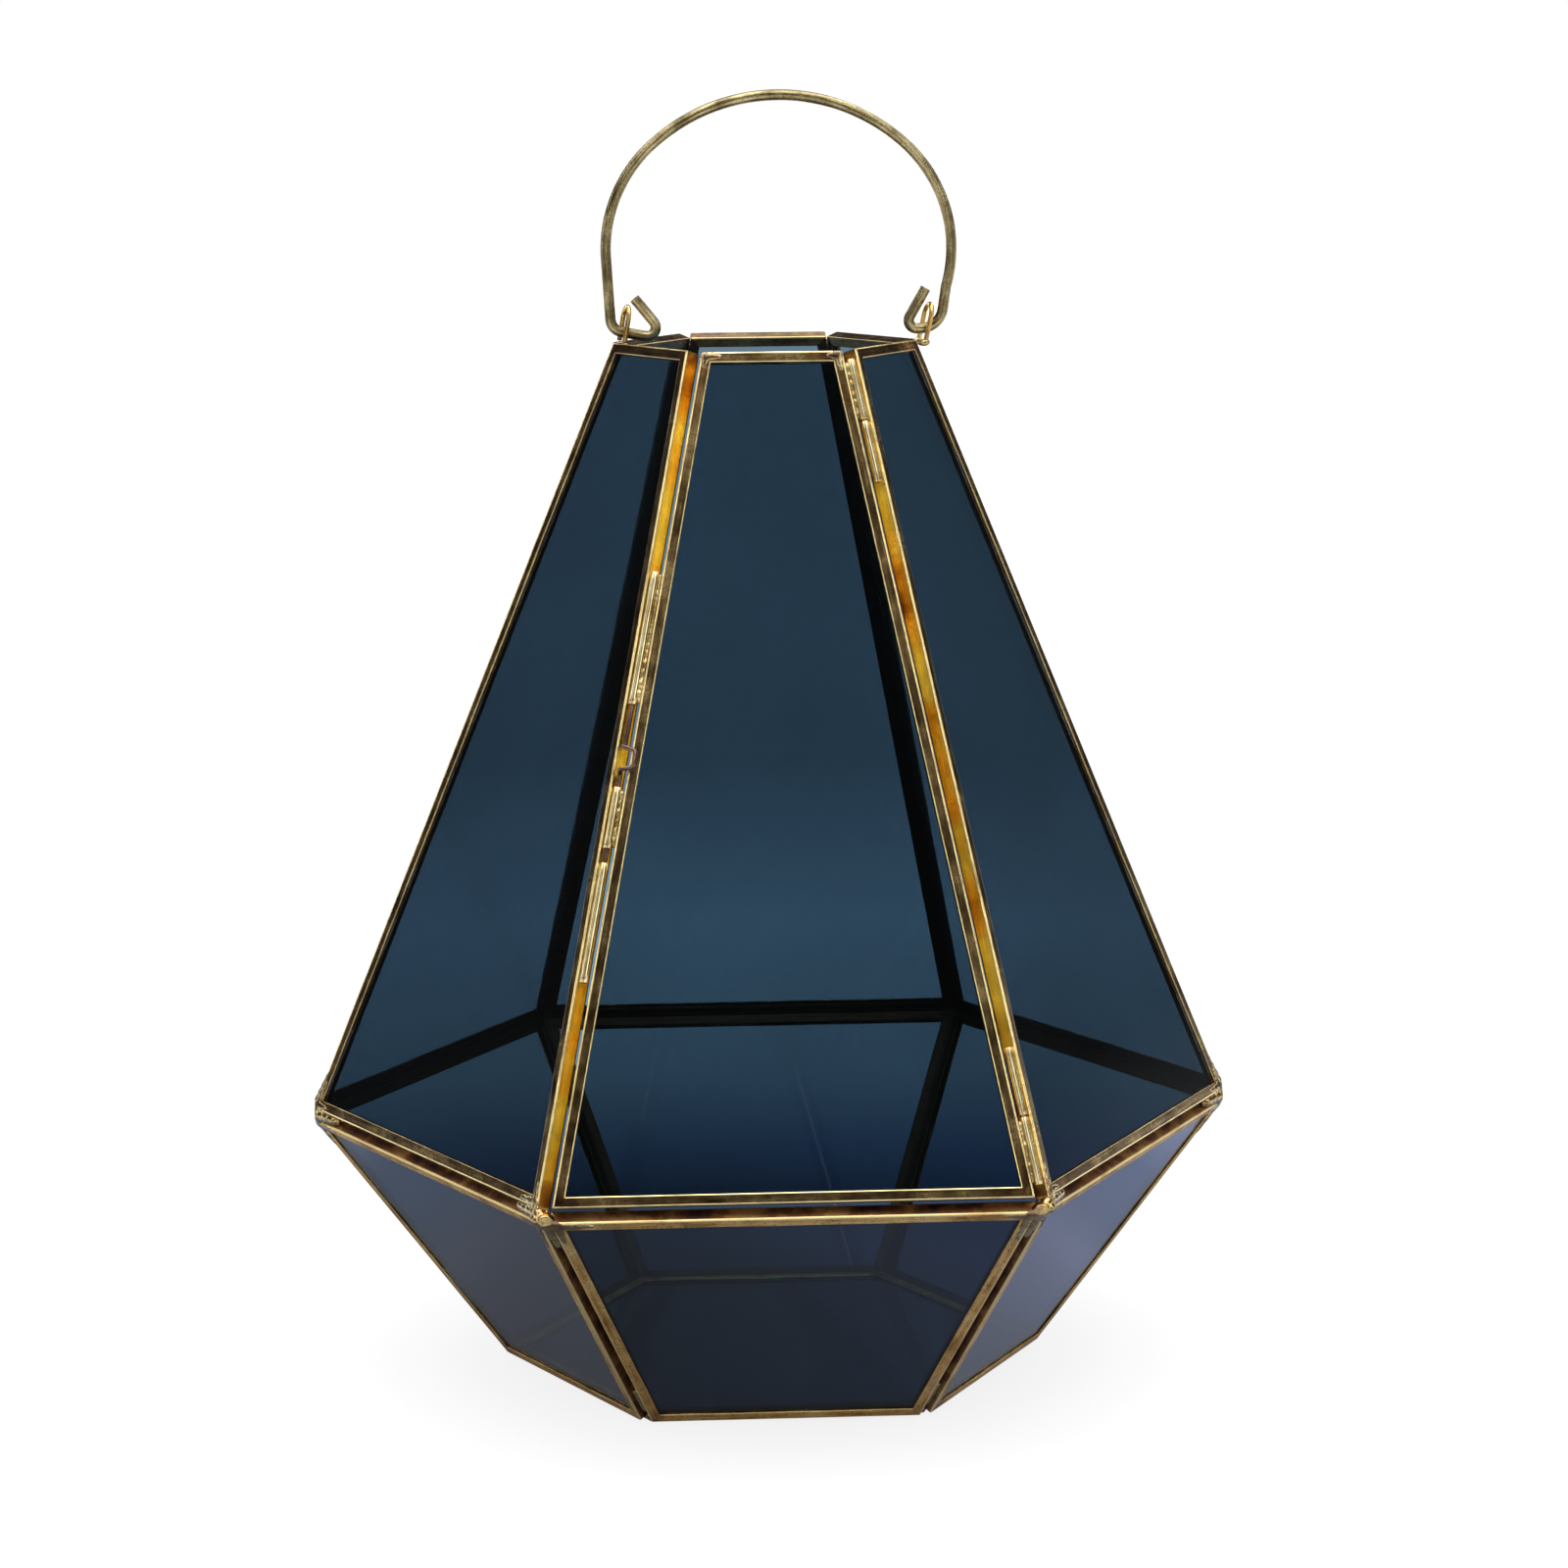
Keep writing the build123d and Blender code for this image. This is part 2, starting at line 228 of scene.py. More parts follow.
def calculate(tree, operation, *values):
    """Math node over sockets and numbers."""
    made = tree.nodes.new("ShaderNodeMath")
    made.operation = operation
    for socket, value in zip(made.inputs, values):
        feed(tree, socket, value)
    return made.outputs[0]


def noise_of(tree, vector, scale, detail=4.0, rough=0.55, stretch=(1, 1, 1)):
    """Noise over a vector, with its coordinates stretched."""
    mapping = add_node(tree, "Mapping", Scale=stretch)
    tree.links.new(vector, mapping.inputs["Vector"])
    made = add_node(tree, "TexNoise", Scale=scale, Detail=detail, Roughness=rough)
    tree.links.new(mapping.outputs[0], made.inputs["Vector"])
    return made.outputs["Fac"]


# Colours from dark to bright: the flame's purple to straw on the joints; in the belt's grooves almost black
# and beside the door amber, partly flux and heat tint and partly painted shade and reflection; and below
# the belt brighter, warmer tones, a painted reflection of the floor
FLAME = ((0.13, 0.055, 0.07), (0.30, 0.12, 0.045), (0.56, 0.34, 0.11))
BURNT_AND_SHADED = ((0.06, 0.028, 0.025), (0.17, 0.07, 0.028), (0.36, 0.21, 0.075))
FLOOR_REFLECTION_TONES = ((0.40, 0.19, 0.045), (0.86, 0.49, 0.14), (1.0, 0.70, 0.28))
AMBER = ((0.42, 0.15, 0.03), (0.95, 0.56, 0.08), (1.0, 0.78, 0.20))

# Cream of the painted highlight on bends and edges, and the almost black of the painted shade on the inner
# side
CREAM_HIGHLIGHT = (0.95, 0.76, 0.36)
PAINTED_INNER_SHADE = (0.045, 0.032, 0.028)


def brass(name, tones, roughness, lumps, drawn, spots=0.5, swell=1.2, floor_reflection_share=0.0):
    """Aged brass.

    tones go from dark to bright, and roughness is its least value and what the patina adds. lumps,
    drawn and swell are the heights of fine lumps, of lines along the piece and of broad waves.
    spots says how dark the speckles are, and the last argument how much of a painted floor reflection, in
    brighter and warmer tones, shows below the belt.

    The marks say how near a joint a point is (red), how far it is on a bend or an edge, where the painted
    highlight goes (green), and how far the groove there takes its dark and amber colour, partly flux and
    heat tint and partly painted shade and reflection (blue). The runs are the millimetres along the piece
    and round its section, and how much painted shade the point takes on the inner side."""
    material, tree, output = new_tree(name)
    links = tree.links
    place_of = tree.nodes.new("ShaderNodeTexCoord").outputs["Object"]
    marks = add_node(tree, "Attribute", {"attribute_name": "marks"})
    split = tree.nodes.new("ShaderNodeSeparateColor")
    links.new(marks.outputs["Color"], split.inputs[0])
    joint, edge, groove = split.outputs
    runs = add_node(tree, "Attribute", {"attribute_name": "runs"}).outputs["Vector"]
    parts = tree.nodes.new("ShaderNodeSeparateXYZ")
    links.new(runs, parts.inputs[0])
    inner = parts.outputs[2]

    # Patina in clouds and in streaks along the piece
    clouds = noise_of(tree, place_of, 110.0, 5.0, 0.62)
    streaks = noise_of(tree, runs, 1.0, 4.0, 0.6, (0.07, 1.1, 0))
    patina = calculate(tree, "ADD", *(calculate(tree, "MULTIPLY", part, 0.5) for part in (clouds, streaks)))
    base = ramp(tree, patina, (0.36, tones[0]), (0.48, tones[1]), (0.60, tones[2]))
    height_of = tree.nodes.new("ShaderNodeSeparateXYZ")
    links.new(place_of, height_of.inputs[0])
    # Below the belt the brass is painted brighter and warmer, a painted reflection of the floor, and is
    # also rougher
    below = calculate(tree, "LESS_THAN", height_of.outputs[2], (BELT_PLANE + 1.0) * MM)
    below = calculate(tree, "MULTIPLY", below, floor_reflection_share)
    floor_reflection = ramp(tree, patina, (0.36, FLOOR_REFLECTION_TONES[0]), (0.48, FLOOR_REFLECTION_TONES[1]), (0.60, FLOOR_REFLECTION_TONES[2]))
    base = mix(tree, below, base, floor_reflection)
    speckle = ramp(tree, noise_of(tree, place_of, 1400.0, 3.0, 0.6), (0.34, grey(1.0)), (0.46, grey(0.0)))
    base = mix(tree, calculate(tree, "MULTIPLY", speckle, spots), base, tuple(0.30 * c for c in tones[0]))

    # Grooves take dark and amber colour, partly flux and heat tint and partly painted shade and reflection,
    # and joints keep the flame's red and purple
    burnt_and_shaded = ramp(tree, noise_of(tree, place_of, 120.0, 4.0, 0.6), *zip((0.36, 0.50, 0.62), BURNT_AND_SHADED))
    amber = ramp(tree, noise_of(tree, place_of, 45.0, 5.0, 0.6), *zip((0.26, 0.40, 0.54), AMBER))
    base = mix(tree, ramp(tree, groove, (0.0, grey(0.0)), (0.5, grey(1.0))), base, burnt_and_shaded)
    base = mix(tree, ramp(tree, groove, (0.5, grey(0.0)), (1.0, grey(1.0))), base, amber)
    flame = ramp(tree, noise_of(tree, place_of, 260.0, 3.0, 0.5), *zip((0.36, 0.50, 0.64), FLAME))
    reach = ramp(tree, noise_of(tree, place_of, 170.0, 2.0, 0.5), (0.38, grey(0.0)), (0.58, grey(1.0)))
    base = mix(tree, calculate(tree, "MULTIPLY", joint, reach), base, flame)

    # Bends and edges get a painted highlight in cream, and the inner side a painted shade, almost black
    highlight_patches = ramp(tree, noise_of(tree, place_of, 80.0, 4.0, 0.6), (0.32, grey(0.35)), (0.50, grey(1.0)))
    base = mix(tree, calculate(tree, "MULTIPLY", edge, highlight_patches), base, CREAM_HIGHLIGHT)
    base = mix(tree, calculate(tree, "MULTIPLY", inner, 0.9), base, PAINTED_INNER_SHADE)

    # Drawing lines, lumps and waves, in the roughness and in the surface
    lines = noise_of(tree, runs, 1.0, 3.0, 0.7, (0.04, 9.0, 0))
    rough = calculate(tree, "MULTIPLY_ADD", clouds, roughness[1], roughness[0])
    rough = calculate(tree, "MULTIPLY_ADD", lines, 0.08, rough)
    rough = calculate(tree, "MULTIPLY_ADD", below, 0.26, rough)
    shader = add_node(tree, "BsdfPrincipled", Metallic=1.0)
    links.new(base, shader.inputs["Base Color"])
    links.new(rough, shader.inputs["Roughness"])
    height = calculate(tree, "MULTIPLY", noise_of(tree, place_of, 420.0, 5.0, 0.6), lumps)
    height = calculate(tree, "MULTIPLY_ADD", lines, drawn, height)
    height = calculate(tree, "MULTIPLY_ADD", noise_of(tree, place_of, 95.0, 2.0), swell, height)
    bump = add_node(tree, "Bump", Strength=0.55, Distance=0.00010)
    links.new(height, bump.inputs["Height"])
    links.new(bump.outputs[0], shader.inputs["Normal"])
    links.new(shader.outputs[0], output.inputs["Surface"])
    return material


# Share of white light that one pane lets through, and that dust leaves
PANE_TINT = (0.126, 0.193, 0.250)
DUST_TINT = (0.30, 0.37, 0.42)


def smoked_glass():
    """Navy smoked glass with a faint bloom and a few specks of dust."""
    material, tree, output = new_tree("smoked_glass")
    place_of = tree.nodes.new("ShaderNodeTexCoord").outputs["Object"]
    paler = tuple(1.10 * c for c in PANE_TINT)
    bloom = ramp(tree, noise_of(tree, place_of, 16.0, 4.0, 0.5), (0.30, PANE_TINT), (0.70, paler))
    cells = add_node(tree, "TexVoronoi", Scale=95.0)
    tree.links.new(place_of, cells.inputs["Vector"])
    speck = ramp(tree, cells.outputs["Distance"], (0.015, grey(0.8)), (0.030, grey(0.0)))
    glass = add_node(tree, "BsdfPrincipled", Roughness=0.0, IOR=1.5, Transmission_Weight=1.0)
    tree.links.new(mix(tree, speck, bloom, DUST_TINT), glass.inputs["Base Color"])
    ripple = add_node(tree, "Bump", Strength=0.04, Distance=0.001)
    tree.links.new(noise_of(tree, place_of, 8.0, 1.0, 0.4), ripple.inputs["Height"])
    tree.links.new(ripple.outputs[0], glass.inputs["Normal"])
    clear = add_node(tree, "BsdfTransparent", Color=(*(math.sqrt(c) for c in PANE_TINT), 1.0))
    both = tree.nodes.new("ShaderNodeMixShader")
    tree.links.new(tree.nodes.new("ShaderNodeLightPath").outputs["Is Shadow Ray"], both.inputs[0])
    tree.links.new(glass.outputs[0], both.inputs[1])
    tree.links.new(clear.outputs[0], both.inputs[2])
    tree.links.new(both.outputs[0], output.inputs["Surface"])
    return material


glass_material = smoked_glass()
channel_brass = brass(
    "channel_brass", ((0.075, 0.045, 0.020), (0.27, 0.17, 0.068), (0.50, 0.355, 0.15)),
    roughness=(0.08, 0.24), lumps=0.5, drawn=0.25, floor_reflection_share=0.9)
solder_metal = brass(
    "solder_metal", ((0.13, 0.10, 0.045), (0.36, 0.29, 0.14), (0.72, 0.62, 0.36)),
    roughness=(0.12, 0.16), lumps=1.8, drawn=0.0, spots=0.7, swell=2.2)
tube_brass = brass(
    "tube_brass", ((0.46, 0.34, 0.15), (0.70, 0.57, 0.29), (0.90, 0.79, 0.48)),
    roughness=(0.05, 0.12), lumps=0.03, drawn=0.08, spots=0.08, swell=0.12)
bail_brass = brass(
    "bail_brass", ((0.06, 0.043, 0.02), (0.21, 0.165, 0.075), (0.48, 0.40, 0.215)),
    roughness=(0.06, 0.16), lumps=0.2, drawn=0.9, swell=0.5)
bolt_brass = brass(
    "bolt_brass", ((0.035, 0.022, 0.032), (0.09, 0.055, 0.065), (0.26, 0.16, 0.09)),
    roughness=(0.08, 0.12), lumps=0.3, drawn=0.2, swell=0.5)
eyelet_brass = brass(
    "eyelet_brass", ((0.34, 0.19, 0.05), (0.66, 0.42, 0.12), (0.88, 0.63, 0.24)),
    roughness=(0.06, 0.12), lumps=0.2, drawn=0.3, swell=0.5)


# ------------------------------------------------------------------ channel frames

# Step along a strip, how far its lips and its web sway and in what waves, how far the flame's marks
# reach from a joint, the short flat beside each bend, and how far streaks shift between strips
STATION = 2.2
LIP_SWAY = 0.14
LIP_WAVE = 12.0
WEB_SWAY = 0.04
WEB_WAVE = 11.0
JOINT_FADE = 8.0
SUPPORT = 0.12
STREAK_SHIFT = 50

# Amber share in the level grooves, which at this value gives their dark colour, partly heat tint and partly
# painted shade, and how much painted shade darkens the rim's inner side
LEVEL_AMBER = 0.5
RIM_SHADE = 0.45


class Panel:
    """A pane's plane and the outline of its channel, worked out from the CAD pane."""

    def __init__(self, glass):
        corners = {tuple(round(c / MM, 3) for c in v.co) for v in nodes[glass].data.vertices}
        corners = [Vector(c) for c in corners]
        centre = sum(corners, Vector()) / len(corners)
        self.normal = max(nodes[glass].data.polygons, key=lambda p: p.area).normal.copy()
        outwards = Vector((0, 0, 1)) if glass == "base_glass" else centre - Vector((0, 0, centre.z))
        if self.normal.dot(outwards) < 0:
            self.normal.negate()
        level = min(c.dot(self.normal) for c in corners)
        inner = [c for c in corners if c.dot(self.normal) < level + 1]
        sideways = Vector((0, 0, 1)).cross(self.normal)
        self.along = sideways.normalized() if sideways.length > 0.5 else Vector((1, 0, 0))
        self.up = self.normal.cross(self.along)
        self.origin = sum(inner, Vector()) / len(inner) - self.normal * CHANNEL_WALL
        flat = [Vector(((c - self.origin).dot(self.along), (c - self.origin).dot(self.up))) for c in inner]
        flat.sort(key=lambda p: math.atan2(p.y, p.x))
        self.outline = inset(flat, -CHANNEL_WALL - GLASS_EDGE_GAP)

    def at(self, point, out):
        """A point of the panel's plane, some way out of it."""
        return self.origin + self.along * point[0] + self.up * point[1] + self.normal * out


def mitre(outline, i):
    """How far corner i moves when every side moves inwards by one."""
    here = outline[i]
    back = (outline[i - 1] - here).normalized()
    ahead = (outline[(i + 1) % len(outline)] - here).normalized()
    return (back + ahead).normalized() / math.sin(back.angle(ahead) / 2)


def inset(outline, amount):
    """An outline after every side has moved inwards."""
    return [corner + mitre(outline, i) * amount for i, corner in enumerate(outline)]


def channel_section():
    """The channel's section, once round, as (inwards, outwards, edge, groove, inner)."""
    lip, deep, wall, bend = CHANNEL_LIP, CHANNEL_DEPTH, CHANNEL_WALL, CHANNEL_BEND
    tip = lip - LIP_ROUND
    section = [(*p, 0.7, 0, 1) for p in arc((tip, LIP_ROUND), LIP_ROUND, 90, -90, 6)]
    section += [(tip - SUPPORT, 0, 0, 0, 1), (bend + SUPPORT, 0, 0, 0, 1)]
    section += [(*p, 0.6, 0, 1) for p in arc((bend, bend), bend, -90, -180, 4)]
    section += [(0, bend + SUPPORT, 0, 1, 0), (0, deep / 2, 0, 1, 0), (0, deep - bend - SUPPORT, 0, 0.9, 0)]
    section += [(*p, 1, 0, 0) for p in arc((bend, deep - bend), bend, 180, 90, 5)]
    section += [(bend + SUPPORT, deep, 0, 0, 0), (lip / 2, deep, 0, 0, 0), (tip - SUPPORT, deep, 0, 0, 0)]
    section += [(*p, 1, 0, 0) for p in arc((tip, deep - LIP_ROUND), LIP_ROUND, 90, -90, 6)]
    section += [(wall, deep - wall, 0, 0, 1), (wall, wall, 0, 0, 1)]
    return section


# The section, and the distance round it to each of its points
SECTION = channel_section()
GIRTHS = [0.0]
for one, two in zip(SECTION, SECTION[1:]):
    GIRTHS.append(GIRTHS[-1] + math.hypot(two[0] - one[0], two[1] - one[1]))


def swayed(panel, flat, u, n, seed):
    """A point of a channel at u inwards and n outwards, with its lips not quite straight."""
    here = panel.at(flat, n)
    reach = u / CHANNEL_LIP
    lift = LIP_SWAY * reach * wave(here, LIP_WAVE, seed)
    return here - panel.normal * (lift if n > CHANNEL_DEPTH / 2 else -lift)


def channel_strip(sheet, panel, i, seed, amber, lip_highlight, shade):
    """One side of a channel frame, mitred at both ends.

    amber says how much dark and amber colour its web takes, partly flux and heat tint and partly painted
    shade and reflection; the next argument says how strong the painted highlight on its lips is, and shade
    how much painted shade darkens its inner side."""
    outline = panel.outline
    start, end = outline[i], outline[(i + 1) % len(outline)]
    start_mitre, end_mitre = mitre(outline, i), mitre(outline, (i + 1) % len(outline))
    length = (end - start).length
    inwards = (start_mitre + end_mitre).normalized()
    cut = SAW_CUT / 2 / length
    stations = max(2, math.ceil(length / STATION))
    rows = []
    for k in range(stations + 1):
        share = cut + (1 - 2 * cut) * k / stations
        near = math.exp(-min(share, 1 - share) * length / JOINT_FADE)
        points, marks, runs = [], [], []
        for (u, n, edge, groove, inner), girth in zip(SECTION, GIRTHS):
            flat = (start + start_mitre * u).lerp(end + end_mitre * u, share)
            dent = WEB_SWAY * (0.5 + 0.5 * wave(panel.at(flat, 0), WEB_WAVE, seed + 5))
            points.append(swayed(panel, flat + inwards * dent, u, n, seed))
            # The edge mark carries the painted highlight, scaled on the lips by the last argument
            marks.append((near, edge * (lip_highlight if u > CHANNEL_LIP / 2 else 1.0), groove * amber))
            # The inner flag times shade is how much painted shade the point takes
            runs.append((share * length + STREAK_SHIFT * seed, girth, inner * shade))
        rows.append(sheet.ring(points, marks, runs))
    for one, two in zip(rows, rows[1:]):
        sheet.bridge(one, two, len(SECTION))
    sheet.cap(rows[0], len(SECTION), flip=True)
    sheet.cap(rows[-1], len(SECTION))


def channel_frame(node, glass, body, seed, amber=0.5, lip_highlight=0.2):
    """A pane's whole channel frame. amber is for its upright grooves, and the last argument for the painted
    highlight on its lips.
    """
    panel = Panel(glass)
    sheet = Sheet()
    for i in range(len(panel.outline)):
        start = panel.at(panel.outline[i], 0)
        run = panel.at(panel.outline[(i + 1) % len(panel.outline)], 0) - start
        if abs(run.normalized().z) > 0.5:
            share, shade = amber, 1.0
        elif start.z > RIM_PLANE - 1:
            share, shade = 0.0, RIM_SHADE
        else:
            share, shade = LEVEL_AMBER, 1.0
        channel_strip(sheet, panel, i, seed + 0.37 * i, share, lip_highlight, shade)
    piece(node + "_channel", sheet, body, "channel", channel_brass, node)


for number, side in enumerate(SIDES):
    if side == "front":
        channel_frame("door_frame", "door_glass", "door", 3.1, 1.0, 1.0)
    else:
        channel_frame(f"upper_frame_{side}", f"upper_glass_{side}", "body", 11.3 + number, 1.0)
    channel_frame(f"lower_frame_{side}", f"lower_glass_{side}", "body", 31.7 + number)
channel_frame("base_frame", "base_glass", "body", 53.9)


# ------------------------------------------------------------------ tubes and wires

# Tubes: their flame marks fade from each end, as an eyelet's do from its foot, and the frame's
# knuckles grip the pin with the press gap
TUBE_SIDES = 40
TUBE_CHAMFER = 0.12
TUBE_RIPPLE = 0.02
TUBE_STREAK_SHIFT = 30
TUBE_FLAME = 0.5
TUBE_FADE = 3.0
FOOT_FADE = 2.5
PRESS_GAP = 0.01

# A tube's seam and fold line: how deep, and at which of its sides
SEAM_DEPTH = 0.14
SEAM_PLACES = (2, 36)

# The cut at a wire's end: how wide its flat is and how far back its bevel starts, in radii
WIRE_SIDES = 16
WIRE_STEP = 1.0
WIRE_RIPPLE = 0.018
CUT_WIDTH = 0.84
CUT_BEVEL = 0.12


class Line:
    """A straight line through a CAD tube, with the places where the tube starts and ends."""

    def __init__(self, node, along):
        points = [v.co / MM for v in nodes[node].data.vertices]
        self.along = Vector(along).normalized()
        spots = {tuple(round(c, 3) for c in p - self.along * p.dot(self.along)) for p in points}
        low = Vector([min(s[i] for s in spots) for i in range(3)])
        high = Vector([max(s[i] for s in spots) for i in range(3)])
        self.centre = (low + high) / 2
        reach = [p.dot(self.along) for p in points]
        self.low, self.high = min(reach), max(reach)


def rolled_tube(node, along, outwards, bore, body, seed):
    """A tube rolled from strip, with a seam and a fold line along it."""
    line = Line(node, along)
    side = line.along.cross(outwards).normalized()
    out = side.cross(line.along)
    length = line.high - line.low
    straight = length - 2 * TUBE_CHAMFER
    stations = max(6, math.ceil(length / STATION))
    rows = [(bore, 0.0), (bore + TUBE_CHAMFER, 0.0), (TUBE_RADIUS - TUBE_CHAMFER, 0.0)]
    rows += [(TUBE_RADIUS, TUBE_CHAMFER + straight * k / stations) for k in range(stations + 1)]
    rows += [(TUBE_RADIUS - TUBE_CHAMFER, length), (bore + TUBE_CHAMFER, length), (bore, length)]
    sheet = Sheet()
    numbers = []
    for radius, distance in rows:
        points, marks, runs = [], [], []
        for i in range(TUBE_SIDES):
            turn = 2 * math.pi * i / TUBE_SIDES
            shrink = SEAM_DEPTH if i in SEAM_PLACES and radius > bore + TUBE_CHAMFER else 0.0
            ripple = TUBE_RIPPLE * wave((distance, 3 * math.cos(turn), 3 * math.sin(turn)), 4.0, seed)
            away = radius - shrink + (ripple - TUBE_RIPPLE if radius > bore else 0.0)
            spot = line.centre + line.along * (line.low + distance)
            points.append(spot + (out * math.cos(turn) + side * math.sin(turn)) * away)
            at_end = math.exp(-min(distance, length - distance) / TUBE_FADE)
            marks.append((TUBE_FLAME * at_end, 0.0, 0.0))
            # The bore, the seam and the fold line are painted dark as shade
            bore_and_seam_shade = 1.0 if radius <= bore else 0.8 if i in SEAM_PLACES else 0.0
            runs.append((distance + TUBE_STREAK_SHIFT * seed, turn * radius, bore_and_seam_shade))
        numbers.append(sheet.ring(points, marks, runs))
    for one, two in zip(numbers, numbers[1:] + numbers[:1]):
        sheet.bridge(one, two, TUBE_SIDES)
    piece(node + "_tube", sheet, body, "tube", tube_brass, node)
    return line


def rounded(corners, radii):
    """A route through corners with the inner ones rounded, in short steps."""
    route = [corners[0]]
    for before, corner, after, radius in zip(corners, corners[1:], corners[2:], radii):
        back, ahead = (before - corner).normalized(), (after - corner).normalized()
        half = back.angle(ahead) / 2
        centre = corner + (back + ahead).normalized() * radius / math.sin(half)
        start = corner + back * radius / math.tan(half) - centre
        end = corner + ahead * radius / math.tan(half) - centre
        turn = start.angle(end)
        steps = max(3, math.ceil(math.degrees(turn) / 12))
        for k in range(steps + 1):
            share = k / steps
            swept = (start * math.sin((1 - share) * turn) + end * math.sin(share * turn)) / math.sin(turn)
            route.append(centre + swept)
    return route + [corners[-1]]


def stepped(route):
    """A route with points added on its long runs."""
    points = [route[0]]
    for one, two in zip(route, route[1:]):
        steps = max(1, math.ceil((two - one).length / WIRE_STEP))
        points += [one.lerp(two, k / steps) for k in range(1, steps + 1) if (two - one).length > 1e-4]
    return points


def wire(name, route, radius, body, slot, material, seed, hot=lambda point: 0.0):
    """A bent wire with flat cut ends. hot says how much the flame has marked it at a point."""
    points = stepped(route)
    sheet = Sheet()
    tangents = [(b - a).normalized() for a, b in zip(points, points[1:])]
    bisected = [(a + b).normalized() for a, b in zip(tangents, tangents[1:])]
    tangents = [tangents[0]] + bisected + [tangents[-1]]
    across = tangents[0].orthogonal().normalized()
    rows, distance = [], 0.0
    for i, (point, tangent) in enumerate(zip(points, tangents)):
        if i:
            distance += (point - points[i - 1]).length
        across = (across - tangent * across.dot(tangent)).normalized()
        beside = tangent.cross(across)
        ring, marks, runs = [], [], []
        for k in range(WIRE_SIDES):
            turn = 2 * math.pi * k / WIRE_SIDES
            bump = wave((distance / 6, math.cos(turn), math.sin(turn)), 1.0, seed)
            ripple = 1 + WIRE_RIPPLE * bump - WIRE_RIPPLE
            ring.append(point + (across * math.cos(turn) + beside * math.sin(turn)) * radius * ripple)
            marks.append((hot(point), 0.0, 0.0))
            runs.append((distance, turn * radius, 0.0))
        rows.append((ring, marks, runs))
    # Each end closes with a small bevel round a flat cut
    for end, inward in ((0, tangents[0]), (-1, -tangents[-1])):
        ring, marks, runs = rows[end]
        middle = points[end]
        flat = [middle + (p - middle) * CUT_WIDTH for p in ring]
        rows[end] = ([p + inward * CUT_BEVEL * radius for p in ring], marks, runs)
        rows.insert(0 if end == 0 else len(rows), (flat, marks, runs))
    numbers = [sheet.ring(*row) for row in rows]
    for one, two in zip(numbers, numbers[1:]):
        sheet.bridge(one, two, WIRE_SIDES)
    sheet.cap(numbers[0], WIRE_SIDES, flip=True)
    sheet.cap(numbers[-1], WIRE_SIDES)
    piece(name + "_wire", sheet, body, slot, material, name)


HINGE_AXIS = Vector(joints["door_hinge"]["axis"])
BOLT_AXIS = Vector(joints["bolt_slide"]["axis"])
hinge_outwards = around(CORNERS["front_right"], 1, 0)
bolt_outwards = around(CORNERS["front_left"], 1, 0)

rolled_tube("lower_door_knuckle", HINGE_AXIS, hinge_outwards, PIN_RADIUS + RUNNING_GAP, "door", 1.3)
rolled_tube("upper_door_knuckle", HINGE_AXIS, hinge_outwards, PIN_RADIUS + RUNNING_GAP, "door", 2.9)
rolled_tube("lower_frame_knuckle", HINGE_AXIS, hinge_outwards, PIN_RADIUS + PRESS_GAP, "body", 4.7)
rolled_tube("upper_frame_knuckle", HINGE_AXIS, hinge_outwards, PIN_RADIUS + PRESS_GAP, "body", 6.1)
rolled_tube("bolt_top_guide", BOLT_AXIS, bolt_outwards, BOLT_RADIUS + RUNNING_GAP, "door", 7.7)
rolled_tube("bolt_lower_guide", BOLT_AXIS, bolt_outwards, BOLT_RADIUS + RUNNING_GAP, "door", 9.2)
keeper = rolled_tube("bolt_keeper", BOLT_AXIS, bolt_outwards, BOLT_RADIUS + RUNNING_GAP, "body", 10.4)

# Bolt, in (away from the door, outwards, up) along the tubes' axis: the shoulder and the end of the
# finger loop, how far their corners lie from its middle, and the radius of each bend. The keeper's
# low end says where the measures along the axis start.
LOOP_SHOULDER, LOOP_END = (-0.6, 2.0), (-4.4, 1.6)
LOOP_HALVES = (3.9, 3.0, 2.3)
LOOP_RADII = (0.8, 0.9, 1.4, 1.4, 0.9, 0.8)
KEEPER_LOW = 59.1
BOLT_TIP, LOOP_MIDDLE, BOLT_HEAD = 91.1, 118.5, 153.0


def bolt_route():
    """The bolt's wire, with its finger loop over the door's lip."""
    out = (bolt_outwards - BOLT_AXIS * bolt_outwards.dot(BOLT_AXIS)).normalized()
    away = out.cross(BOLT_AXIS)
    foot = keeper.centre + BOLT_AXIS * (keeper.low - KEEPER_LOW)
    half = [(0, 0, LOOP_HALVES[0]), (*LOOP_SHOULDER, LOOP_HALVES[1]), (*LOOP_END, LOOP_HALVES[2])]
    below = [(x, y, LOOP_MIDDLE - z) for x, y, z in half]
    above = [(x, y, LOOP_MIDDLE + z) for x, y, z in reversed(half)]
    corners = [(0, 0, BOLT_TIP), *below, *above, (0, 0, BOLT_HEAD)]
    return rounded([foot + away * x + out * y + BOLT_AXIS * z for x, y, z in corners], LOOP_RADII)


wire("bolt", bolt_route(), BOLT_RADIUS, "bolt", "bolt_wire", bolt_brass, 12.1)

# Eyelets: x of the foot, how far it lies below the pivot line, and the lean to the right
PIVOT_HEIGHT = joints["handle_swing"]["pos_m"][2] / MM
EYELETS = {"left": (-39.0, 2.6, 10), "right": (43.2, 3.8, 12)}
EYELET_HALF_WIDTH = 3.2
EYELET_TWIST = math.radians(12)
EYELET_RISE = 3.6


